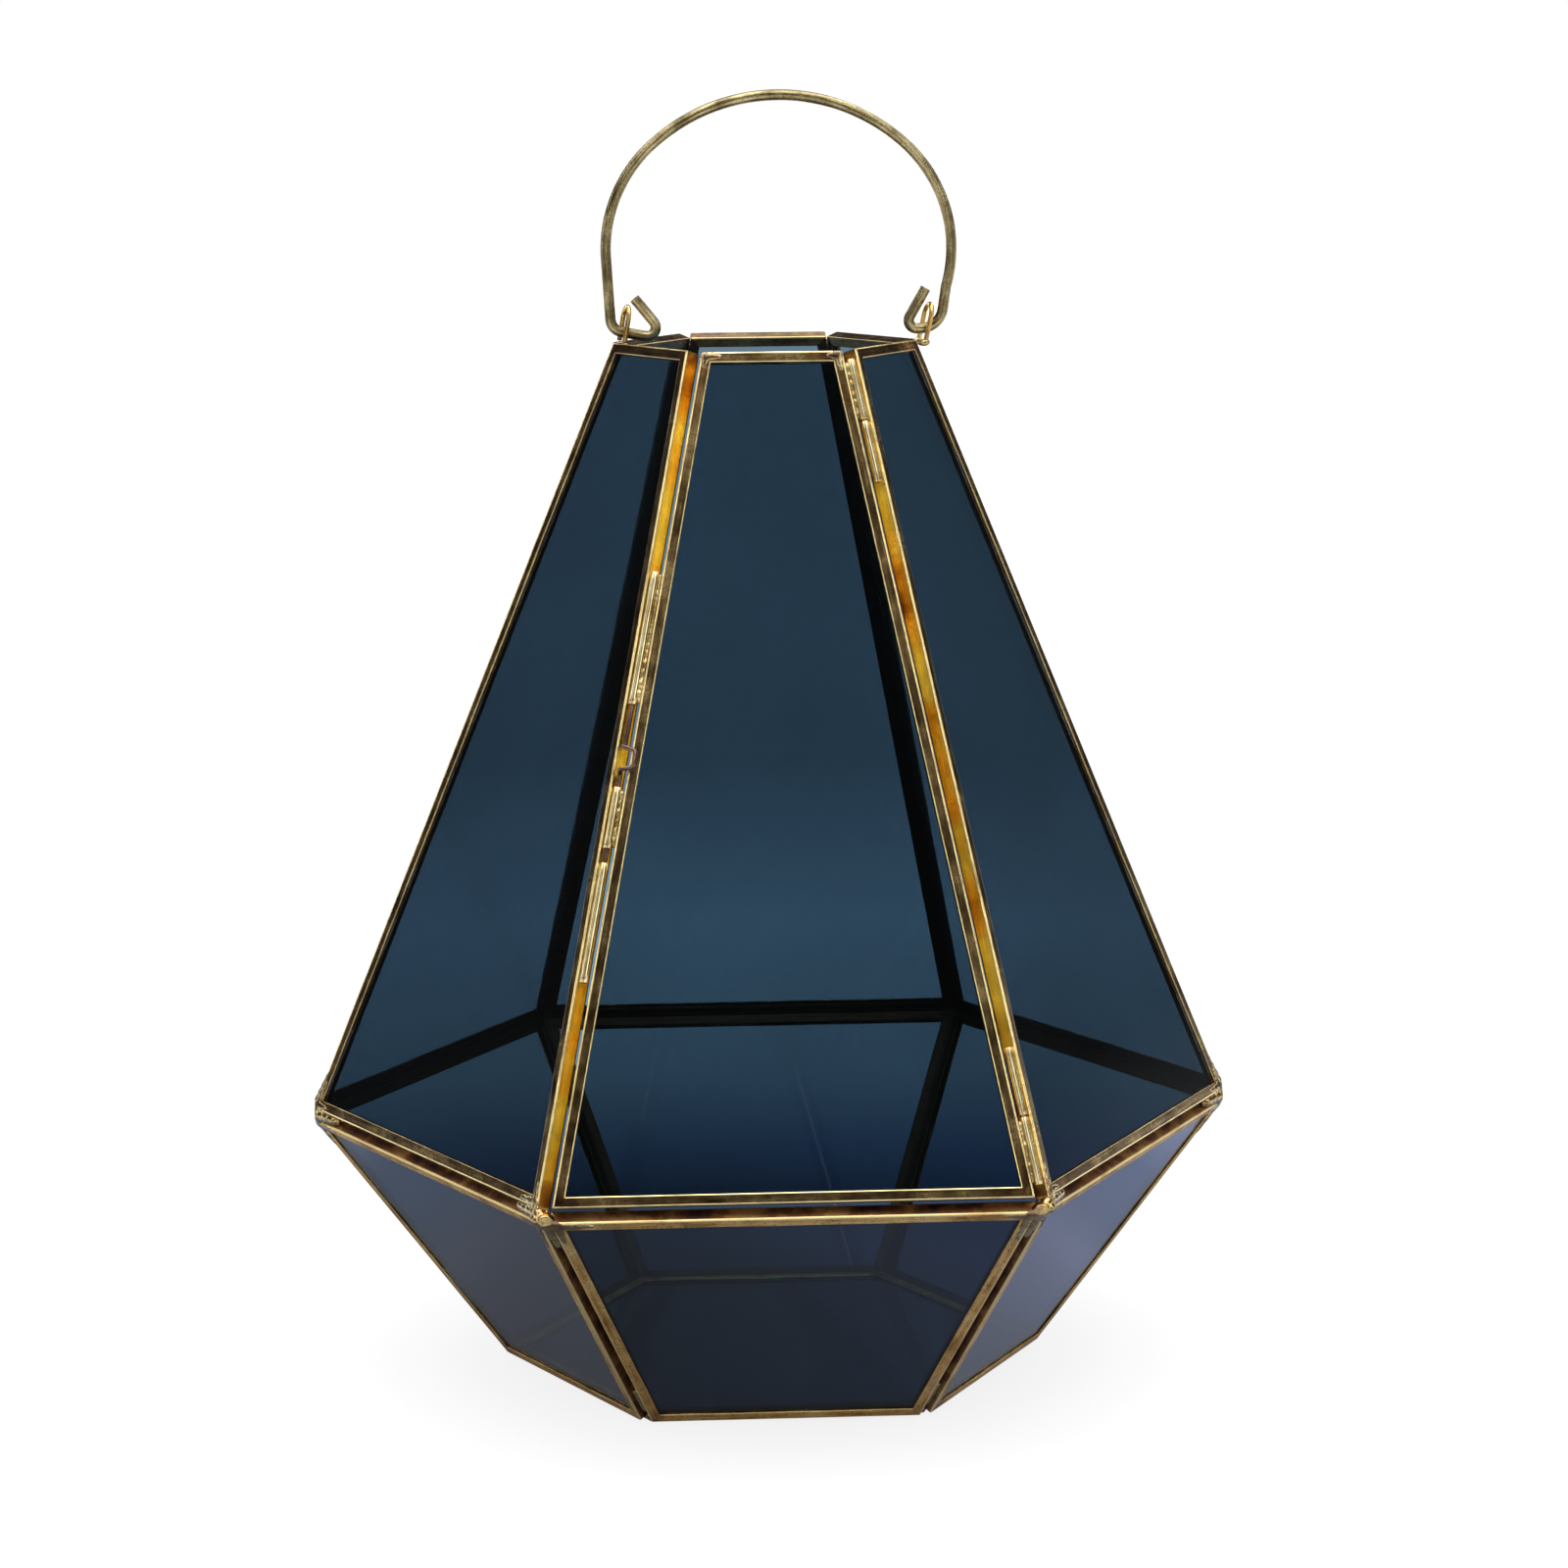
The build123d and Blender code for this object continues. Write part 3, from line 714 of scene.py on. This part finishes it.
def eyelet_route(foot_x, drop, lean):
    """A hairpin standing on the rim, twisted a little out of square."""
    across = Vector((math.sin(EYELET_TWIST), -math.cos(EYELET_TWIST), 0))
    up = Vector((math.sin(math.radians(lean)), 0, math.cos(math.radians(lean))))
    foot = Vector((foot_x, 0, PIVOT_HEIGHT - drop))
    w, h = EYELET_HALF_WIDTH, EYELET_RISE + drop
    flat = [Vector((-w, 0)), *arc((0, h), w, 180, 0, 24), Vector((w, 0))]
    return [foot + across * p.x + up * p.y for p in flat]


def marked_above(level):
    """Flame marks that fade with the height above a level."""
    return lambda point: math.exp(-(point.z - level) / FOOT_FADE)


for side, (foot_x, drop, lean) in EYELETS.items():
    wire(
        f"{side}_eyelet", eyelet_route(foot_x, drop, lean), EYELET_RADIUS, "body", "eyelet_wire",
        eyelet_brass, 14.0 + foot_x, marked_above(PIVOT_HEIGHT - drop))

# Bail: its arch, and the corners of each hook as (x, height above the pivot line), with the radius
# of each bend and how many degrees the arch runs on below its widest level
BAIL_CENTRE, BAIL_HALF_WIDTH, BAIL_LEVEL = 4.1, 47.2, 311.4
BAIL_RISE, BAIL_SIDE_ARC = 41.6, 38.0
LEFT_HOOK, LEFT_RADII, LEFT_SWEEP = ((-35.5, 9.0), (-26.2, -2.5), (-41.9, 0.4)), (2.4, 3.6), 4.0
RIGHT_HOOK, RIGHT_RADII, RIGHT_SWEEP = ((48.2, 0.2), (37.9, -0.2), (44.3, 11.0)), (6.0, 2.2), 16.0


def bail_route():
    """The bail's wire: a hook, three tangent arcs and a hook, in the plane of the pivot line."""
    offset = BAIL_HALF_WIDTH - BAIL_SIDE_ARC
    crown = (offset**2 + BAIL_RISE**2 - BAIL_SIDE_ARC**2) / (2 * (BAIL_RISE - BAIL_SIDE_ARC))
    drop = crown - BAIL_RISE
    shoulder = math.degrees(math.atan2(drop, offset))
    arch = arc((BAIL_CENTRE - offset, BAIL_LEVEL), BAIL_SIDE_ARC, 180 + LEFT_SWEEP, 180 - shoulder, 30)
    arch += arc((BAIL_CENTRE, BAIL_LEVEL - drop), crown, 180 - shoulder, shoulder, 40)[1:]
    arch += arc((BAIL_CENTRE + offset, BAIL_LEVEL), BAIL_SIDE_ARC, shoulder, -RIGHT_SWEEP, 36)[1:]
    left = [Vector((x, PIVOT_HEIGHT + rise)) for x, rise in LEFT_HOOK]
    right = [Vector((x, PIVOT_HEIGHT + rise)) for x, rise in RIGHT_HOOK]
    route = rounded(left + [arch[0]], LEFT_RADII)[:-1] + arch + rounded([arch[-1]] + right, RIGHT_RADII)[1:]
    return [Vector((p.x, 0, p.y)) for p in route]


wire("bail", bail_route(), BAIL_RADIUS, "handle", "bail_wire", bail_brass, 21.3)


# ------------------------------------------------------------------ solder

# Solder: the grid that melts it together, how often it is smoothed, how far it swells, and the
# radius of the seams and how far out they sit
VOXEL = 0.34
SMOOTHINGS = 3
SOLDER_SWELL = 0.16
SEAM_RADIUS = 0.62
SEAM_OUT = 0.75

# Axes of a lump that stands level
UPRIGHT = (Vector((1, 0, 0)), Vector((0, 1, 0)), Vector((0, 0, 1)))

# How deep the body's painted shade on the inner side reaches into the solder, and how dark it is
INNER_REACH = 1.1
INNER_SHADE = 0.95

# How much the flame shows on solder
SOLDER_FLAME = 0.45


def on_inner_side(point):
    """Whether a point is on the body's inner side and not below its base plane."""
    if point.z < BASE_PLANE - 0.5:
        return False
    low, high = (BASE_PLANE, BASE_SIDE), (BELT_PLANE, BELT_SIDE)
    if point.z > BELT_PLANE:
        low, high = high, (RIM_PLANE, RIM_SIDE)
    side = low[1] + (high[1] - low[1]) * (point.z - low[0]) / (high[0] - low[0])
    reach = max(point.dot(around(30 + 60 * k, 1, 0)) for k in range(6))
    return reach - side * math.cos(math.radians(30)) < INNER_REACH


def melted_together(node, lumps, runs, seams):
    """One skin over the CAD solder's runs, lumps and seams."""
    shape = bmesh.new()
    if runs:
        shape.from_mesh(nodes[node].data)
    for centre, radii, axes in lumps:
        size = Matrix.Diagonal((*(r * MM for r in radii), 1.0))
        turned = Matrix.Translation(centre * MM) @ Matrix(axes).transposed().to_4x4()
        bmesh.ops.create_icosphere(shape, subdivisions=3, radius=1.0, matrix=turned @ size)
    for start, end in seams:
        middle = (start + end) / 2 * MM
        turned = Matrix.Translation(middle) @ (end - start).to_track_quat("Z", "Y").to_matrix().to_4x4()
        bmesh.ops.create_cone(
            shape, cap_ends=True, segments=10, radius1=SEAM_RADIUS * MM, radius2=SEAM_RADIUS * MM,
            depth=(end - start).length * MM, matrix=turned)
    rough = bpy.data.meshes.new(node + "_rough")
    shape.to_mesh(rough)
    shape.free()
    rough.materials.clear()
    source = bpy.data.objects.new(node + "_rough", rough)
    bpy.context.scene.collection.objects.link(source)
    remesh = source.modifiers.new("melt", "REMESH")
    remesh.mode = "VOXEL"
    remesh.voxel_size = VOXEL * MM
    melted = bpy.data.meshes.new_from_object(source.evaluated_get(bpy.context.evaluated_depsgraph_get()))
    bpy.data.objects.remove(source)
    bpy.data.meshes.remove(rough)
    return melted


def solder(node, body, lumps=(), seed=0.0, runs=True, seams=()):
    """The CAD solder's runs melted together with lumps and with round seams.

    A lump is (centre, radii, the axes of the radii), and a seam is its two ends."""
    melted = melted_together(node, lumps, runs, seams)
    shape = bmesh.new()
    shape.from_mesh(melted)
    for _ in range(SMOOTHINGS):
        bmesh.ops.smooth_vert(
            shape, verts=shape.verts, factor=0.5, use_axis_x=True, use_axis_y=True, use_axis_z=True)
    shape.normal_update()
    for vertex in shape.verts:
        spot = vertex.co / MM
        swell = SOLDER_SWELL * (0.6 * wave(spot, 3.1, seed) + 0.4 * wave(spot, 1.2, seed) + 0.25)
        vertex.co = held_inside(spot + vertex.normal * swell)
    shape.to_mesh(melted)
    shape.free()
    melted.name = node + "_beads"
    # Points on the body's inner side take the painted shade
    shades = [INNER_SHADE if on_inner_side(v.co / MM) else 0.0 for v in melted.vertices]
    inner = melted.attributes.new("runs", "FLOAT_VECTOR", "POINT")
    inner.data.foreach_set("vector", [value for shade in shades for value in (0.0, 0.0, shade)])
    marks = melted.attributes.new("marks", "FLOAT_COLOR", "POINT")
    marks.data.foreach_set("color", [SOLDER_FLAME, 0.0, 0.0, 1.0] * len(melted.vertices))
    melted.polygons.foreach_set("use_smooth", [True] * len(melted.polygons))
    melted.update()
    place(bpy.data.objects.new(node + "_beads", melted), body, "solder", solder_metal, node)


# Lumps that fill a groove: how far out they sit, where, half the length of each, and how they taper
GROOVE_OUT = 3.0
ARM_STEPS = (1.8, 4.2, 6.6, 9.0)
ARM_REACH = 2.7
ARM_TAPER = 0.05

# Smears on a frame's corner: how far in they start, how far they run back and ahead, each lump's
# half length, and where the lumps are along a run with their half widths
SMEAR_IN = 1.3
SMEAR_RUNS = (5.5, 3.5)
SMEAR_LENGTH = 2.2
SMEAR_STEPS = ((0.0, 1.5), (0.5, 1.25), (1.0, 0.9))

# Lumps beside the door sit lower, clear of its lower corners
DOOR_DROP = 1.7


def arm_lumps(vertex, along, out, size=1.9):
    """Lumps that fill a groove from a corner of the body outwards, smaller towards its end."""
    aside = out.cross(along).normalized()
    axes = (along, aside, along.cross(aside))
    lumps = []
    for t in ARM_STEPS:
        wide = size - ARM_TAPER * t
        spot = vertex + along * t + out * (GROOVE_OUT - ARM_TAPER * t)
        lumps.append((spot, (ARM_REACH, wide, wide), axes))
    return lumps


def smear_lumps(glass, corners, reach=1.0):
    """Thin smears of solder over some corners of a channel frame, numbered from its lower left."""
    panel = Panel(glass)
    outline = panel.outline
    lumps = []
    for i in corners:
        back = (outline[i - 1] - outline[i]).normalized()
        ahead = (outline[(i + 1) % len(outline)] - outline[i]).normalized()
        middle = outline[i] + mitre(outline, i) * SMEAR_IN
        for run, far in zip((back, ahead), SMEAR_RUNS):
            strip = panel.along * run.x + panel.up * run.y
            axes = (strip, panel.normal.cross(strip), panel.normal)
            for t, width in SMEAR_STEPS:
                spot = panel.at(middle + run * far * reach * t, CHANNEL_DEPTH)
                lumps.append((spot, (SMEAR_LENGTH * reach, width, 0.34 - 0.06 * t), axes))
    return lumps


def belt_lumps():
    """Solder at each corner of the belt, running into the grooves that meet there."""
    lumps = []
    for corner, angle in CORNERS.items():
        vertex = around(angle, BELT_SIDE, BELT_PLANE)
        down = (around(angle, BASE_SIDE, BASE_PLANE) - vertex).normalized()
        up = (around(angle, RIM_SIDE, RIM_PLANE) - vertex).normalized()
        by_door = corner in ("front_left", "front_right")
        if corner != "front_left":
            lumps += arm_lumps(vertex, around(angle + 120, 1, 0), around(angle + 30, 1, -0.1))
        if corner != "front_right":
            lumps += arm_lumps(vertex, around(angle - 120, 1, 0), around(angle - 30, 1, -0.1))
        lumps += arm_lumps(vertex, down, around(angle, 0.8, -0.6), 1.7)
        if not by_door:
            lumps += arm_lumps(vertex, up, around(angle, 0.93, 0.37), 1.7)
        drop = Vector((0, 0, DOOR_DROP if by_door else 0))
        lumps.append((vertex + around(angle, 2.4, 0) - drop, (2.5, 2.5, 1.8 if by_door else 2.6), UPRIGHT))
        aside = around(angle - 90 if corner == "front_left" else angle + 90, 2.0, 0)
        lumps.append((vertex + around(angle, 2.6, 0) - drop + aside, (2.0, 2.0, 1.6), UPRIGHT))
    for side in SIDES[1:]:
        lumps += smear_lumps(f"upper_glass_{side}", (0, 1))
    for side in SIDES:
        lumps += smear_lumps(f"lower_glass_{side}", (2, 3), 1.3)
    return lumps


def base_lumps():
    """A small lump at each corner of the base."""
    spots = [around(angle, BASE_SIDE + 0.9, BASE_PLANE - 1.0) for angle in CORNERS.values()]
    return [(spot, (1.5, 1.5, 1.4), UPRIGHT) for spot in spots]


def rim_lumps():
    """A small lump at the two back corners of the rim, below its edge."""
    spots = [around(CORNERS[name], RIM_SIDE + 2.0, RIM_PLANE - 2.2) for name in ("back_right", "back_left")]
    return [(spot, (1.5, 1.5, 1.6), UPRIGHT) for spot in spots]


def foot_lumps():
    """A small collar of solder round each leg of the eyelets, on the rim."""
    lumps = []
    for foot_x, drop, lean in EYELETS.values():
        route = eyelet_route(foot_x, drop, lean)
        aside = math.copysign(0.5, foot_x)
        for end in (route[0], route[-1]):
            lumps.append((Vector((end.x, end.y, RIM_PLANE + 0.6)), (1.3, 1.3, 0.9), UPRIGHT))
            lumps.append((Vector((end.x - aside, end.y, RIM_PLANE + 0.2)), (1.6, 1.2, 0.7), UPRIGHT))
    return lumps


def tube_lumps(node, along, outwards, towards, spots):
    """Solder that has flowed from a tube onto the bend of the door beside it."""
    line = Line(node, along)
    side = along.cross(outwards).normalized()
    out = side.cross(along)
    lumps = []
    for share, size in spots:
        middle = line.centre + along * (line.low + share * (line.high - line.low))
        lumps.append((middle + side * towards * 1.5 - out * 0.3, (size, size, 2.4 * size), UPRIGHT))
    return lumps


def seams_between(first, second, angles):
    """Round seams on the body's edges, from one level to another, just outside its inner surface."""
    seams = []
    for angle in angles:
        seams.append([around(angle, side + SEAM_OUT, level) for side, level in (first, second)])
    return seams


def level_seams(side, level, sides):
    """Round seams round the body at one level, on some of its sides."""
    seams = []
    for name in sides:
        angle = CORNERS["front_left"] + 60 * SIDES.index(name)
        seams.append([around(angle + turn, side + SEAM_OUT, level) for turn in (0, 60)])
    return seams


# Lumps along a tube, as (share of its length, radius)
LOWER_THIRD = ((0.06, 0.75), (0.14, 0.85), (0.22, 0.8), (0.30, 0.65), (0.38, 0.5))
WHOLE_LENGTH = ((0.1, 0.6), (0.25, 0.7), (0.4, 0.6), (0.55, 0.75), (0.7, 0.65), (0.85, 0.7))

guide_lumps = tube_lumps("bolt_top_guide", BOLT_AXIS, bolt_outwards, 1, LOWER_THIRD)
guide_lumps += tube_lumps("bolt_lower_guide", BOLT_AXIS, bolt_outwards, 1, WHOLE_LENGTH)
knuckle_lumps = tube_lumps("lower_door_knuckle", HINGE_AXIS, hinge_outwards, -1, WHOLE_LENGTH)
knuckle_lumps += tube_lumps("upper_door_knuckle", HINGE_AXIS, hinge_outwards, -1, WHOLE_LENGTH)

# Levels between which the seams run, as (side, height)
RIM, BELT, BASE = (RIM_SIDE, RIM_PLANE - 1.5), (BELT_SIDE, BELT_PLANE), (BASE_SIDE, BASE_PLANE)
door_lumps = knuckle_lumps + smear_lumps("door_glass", (2, 3), 0.6)

solder("belt_solder", "body", belt_lumps(), 1.1, seams=level_seams(*BELT, SIDES[1:]))
solder("base_solder", "body", base_lumps(), 2.2, seams=level_seams(*BASE, SIDES))
solder("upper_edge_solder", "body", rim_lumps(), 3.3, seams=seams_between(BELT, RIM, (0, 60, 120, 180)))
solder("lower_edge_solder", "body", (), 4.4, seams=seams_between(BASE, BELT, CORNERS.values()))
solder("hinge_door_solder", "door", door_lumps, 5.5)
solder("hinge_frame_solder", "body", (), 6.6)
solder("guide_solder", "door", guide_lumps, 7.7)
solder("keeper_solder", "body", (), 8.8)
solder("eyelet_solder", "body", foot_lumps(), 9.9, runs=False)


# ------------------------------------------------------------------ CAD nodes that stay


def dress(name, material):
    """Gives a carried-over CAD node its material."""
    nodes[name].data.materials.clear()
    nodes[name].data.materials.append(material)


for name in nodes:
    if name.endswith("glass") or "_glass_" in name:
        dress(name, glass_material)
for name in ("lower_hinge_pin", "upper_hinge_pin"):
    dress(name, bail_brass)


# ------------------------------------------------------------------ stage, light and camera

# The camera stands where the photograph was taken, in metres, with the lens and sensor in millimetres
CAMERA_PLACE = Vector((-0.0586, -1.1320, 0.3626))
CAMERA_AIM = Vector((0.05473, 0.98340, -0.17303))
CAMERA_ROLL = -0.0076
CAMERA_LENS = 94.77
SENSOR = 36.0


def photographer():
    """The camera, rolled a fraction of a degree."""
    data = bpy.data.cameras.new("camera")
    data.sensor_width = SENSOR
    data.lens = CAMERA_LENS
    made = bpy.data.objects.new("camera", data)
    bpy.context.scene.collection.objects.link(made)
    bpy.context.scene.camera = made
    aim = CAMERA_AIM.normalized()
    level_right = aim.cross(Vector((0, 0, 1))).normalized()
    level_up = level_right.cross(aim)
    right = level_right * math.cos(CAMERA_ROLL) + level_up * math.sin(CAMERA_ROLL)
    up = level_up * math.cos(CAMERA_ROLL) - level_right * math.sin(CAMERA_ROLL)
    made.matrix_world = Matrix.Translation(CAMERA_PLACE) @ Matrix((right, up, -aim)).transposed().to_4x4()


# The floor's half width in metres, the strength of its own light, and its grey
FLOOR_SIZE = 30.0
FLOOR_LIGHT = 2.1
FLOOR_ALBEDO = 0.07

# The floor's own light by distance from the middle, in metres, painted with a shadow round the foot: as
# glass and brass
# # mirror it, dimmer on the left than on the right, and as the camera sees it, a soft painted shadow
FAR = ((0.33, grey(0.50)), (0.60, grey(0.74)), (1.0, grey(0.42)))
LEFT = (
    (0.07, (0.055, 0.055, 0.065)), (0.115, (0.055, 0.06, 0.08)), (0.14, (0.035, 0.05, 0.085)),
    (0.17, (0.03, 0.045, 0.08)), (0.22, (0.14, 0.16, 0.24)), *FAR)
RIGHT = (
    (0.07, (0.09, 0.10, 0.13)), (0.115, (0.12, 0.135, 0.21)), (0.135, (0.08, 0.10, 0.17)),
    (0.17, (0.075, 0.095, 0.17)), (0.22, (0.16, 0.19, 0.31)), *FAR)
SEEN = ((0.06, grey(0.40)), (0.16, grey(0.47)), (1.0, grey(0.47)))


def floor():
    """A wide white floor whose own light is painted with a soft shadow round the foot, dimmer in its mirror
    image there; its faint grey takes a real shadow too.
    """
    size = FLOOR_SIZE
    mesh = bpy.data.meshes.new("floor")
    corners = [(-size, -size, 0), (size, -size, 0), (size, size, 0), (-size, size, 0)]
    mesh.from_pydata(corners, [], [(0, 1, 2, 3)])
    made = bpy.data.objects.new("floor", mesh)
    bpy.context.scene.collection.objects.link(made)
    material, tree, output = new_tree("floor")
    place_of = tree.nodes.new("ShaderNodeTexCoord").outputs["Object"]
    middle = add_node(tree, "VectorMath", {"operation": "LENGTH"})
    tree.links.new(place_of, middle.inputs[0])
    sideways = tree.nodes.new("ShaderNodeSeparateXYZ")
    tree.links.new(place_of, sideways.inputs[0])
    left = ramp(tree, middle.outputs["Value"], *LEFT)
    right = ramp(tree, middle.outputs["Value"], *RIGHT)
    across = calculate(tree, "MULTIPLY_ADD", sideways.outputs[0], 5.0, 0.5)
    across = ramp(tree, across, (0.3, grey(0.0)), (0.9, grey(1.0)))
    glow = mix(tree, across, left, right)
    bright = ramp(tree, middle.outputs["Value"], *SEEN)
    seen = tree.nodes.new("ShaderNodeLightPath").outputs["Is Camera Ray"]
    diffuse = add_node(tree, "BsdfDiffuse", Color=(*grey(FLOOR_ALBEDO), 1.0))
    light = add_node(tree, "Emission", Strength=FLOOR_LIGHT)
    tree.links.new(mix(tree, seen, glow, bright), light.inputs["Color"])
    both = tree.nodes.new("ShaderNodeAddShader")
    tree.links.new(diffuse.outputs[0], both.inputs[0])
    tree.links.new(light.outputs[0], both.inputs[1])
    tree.links.new(both.outputs[0], output.inputs["Surface"])
    mesh.materials.append(material)


# Brightness of the light overhead and of the strips, and the share of the strips that smooth glass
# mirrors, as behind a polarising filter
SKY_LIGHT = 4.0
STRIP_LIGHT = 3.3
STRIP_IN_GLASS = 0.22


def studio():
    """Bright horizon, dim walls with six tall strip lights, and a soft light overhead.

    The camera itself sees white."""
    world = bpy.data.worlds.new("studio")
    bpy.context.scene.world = world
    world.use_nodes = True
    tree = world.node_tree
    tree.nodes.clear()
    output = tree.nodes.new("ShaderNodeOutputWorld")
    direction = tree.nodes.new("ShaderNodeSeparateXYZ")
    tree.links.new(tree.nodes.new("ShaderNodeTexCoord").outputs["Generated"], direction.inputs[0])
    x, y, z = direction.outputs
    walls = ramp(tree, z, (0.0, grey(0.8)), (0.02, grey(0.12)), (0.05, grey(0.03)), (1.0, grey(0.03)))
    ceiling = ramp(tree, z, (0.60, grey(0.0)), (0.67, grey(0.3)), (0.80, grey(0.3)), (0.90, grey(1.0)))
    sixfold = calculate(tree, "COSINE", calculate(tree, "MULTIPLY", calculate(tree, "ARCTAN2", y, x), 6.0))
    strip = ramp(tree, sixfold, (0.72, grey(0.0)), (0.82, grey(1.0)))
    tall = ramp(tree, z, (0.05, grey(0.0)), (0.12, grey(1.0)), (0.75, grey(1.0)), (0.85, grey(0.0)))
    path = tree.nodes.new("ShaderNodeLightPath")
    kept = calculate(tree, "MULTIPLY_ADD", path.outputs["Is Singular Ray"], STRIP_IN_GLASS - 1.0, 1.0)
    tall = calculate(tree, "MULTIPLY", tall, kept)
    strip = calculate(tree, "MULTIPLY", calculate(tree, "MULTIPLY", strip, tall), STRIP_LIGHT)
    light = calculate(tree, "MULTIPLY_ADD", ceiling, SKY_LIGHT, calculate(tree, "ADD", walls, strip))
    light = mix(tree, path.outputs["Is Camera Ray"], light, (1.0, 1.0, 1.0))
    background = tree.nodes.new("ShaderNodeBackground")
    tree.links.new(light, background.inputs["Color"])
    tree.links.new(background.outputs[0], output.inputs[0])


photographer()
floor()
studio()
bpy.context.scene.view_settings.view_transform = "Standard"
